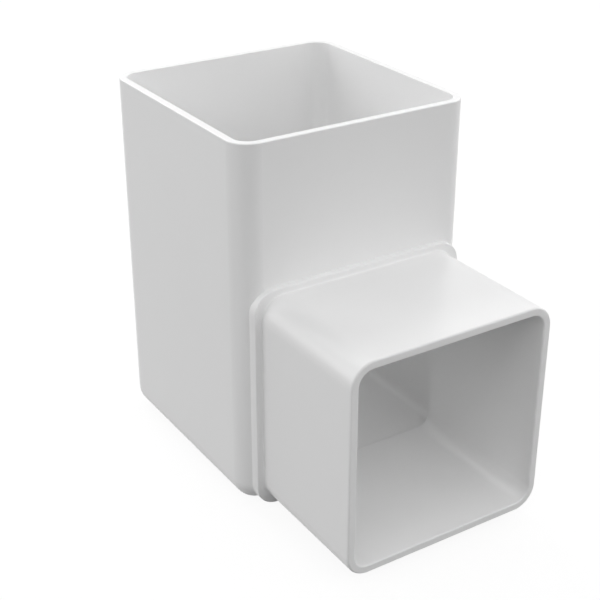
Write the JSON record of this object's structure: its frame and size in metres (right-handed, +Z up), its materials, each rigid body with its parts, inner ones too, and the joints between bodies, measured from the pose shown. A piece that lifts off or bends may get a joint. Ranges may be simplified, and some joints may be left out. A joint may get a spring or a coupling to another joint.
{
  "type": "downspout elbow",
  "caption": "Square right-angle downspout elbow in white plastic, with an open socket above, a closed rounded base and a smaller spigot outlet through a raised collar ring.",
  "frame": {"origin": "middle of the flat underside, on the axis of the square socket", "axes": "+Z up along the socket axis, outlet leaving along -Y, X across the elbow"},
  "size_m": [0.07, 0.1115, 0.1039],
  "materials": {
    "white_upvc": "satin"
  },
  "bodies": {
    "root": {"downspout_elbow": "white_upvc"}
  },
  "joints": []
}
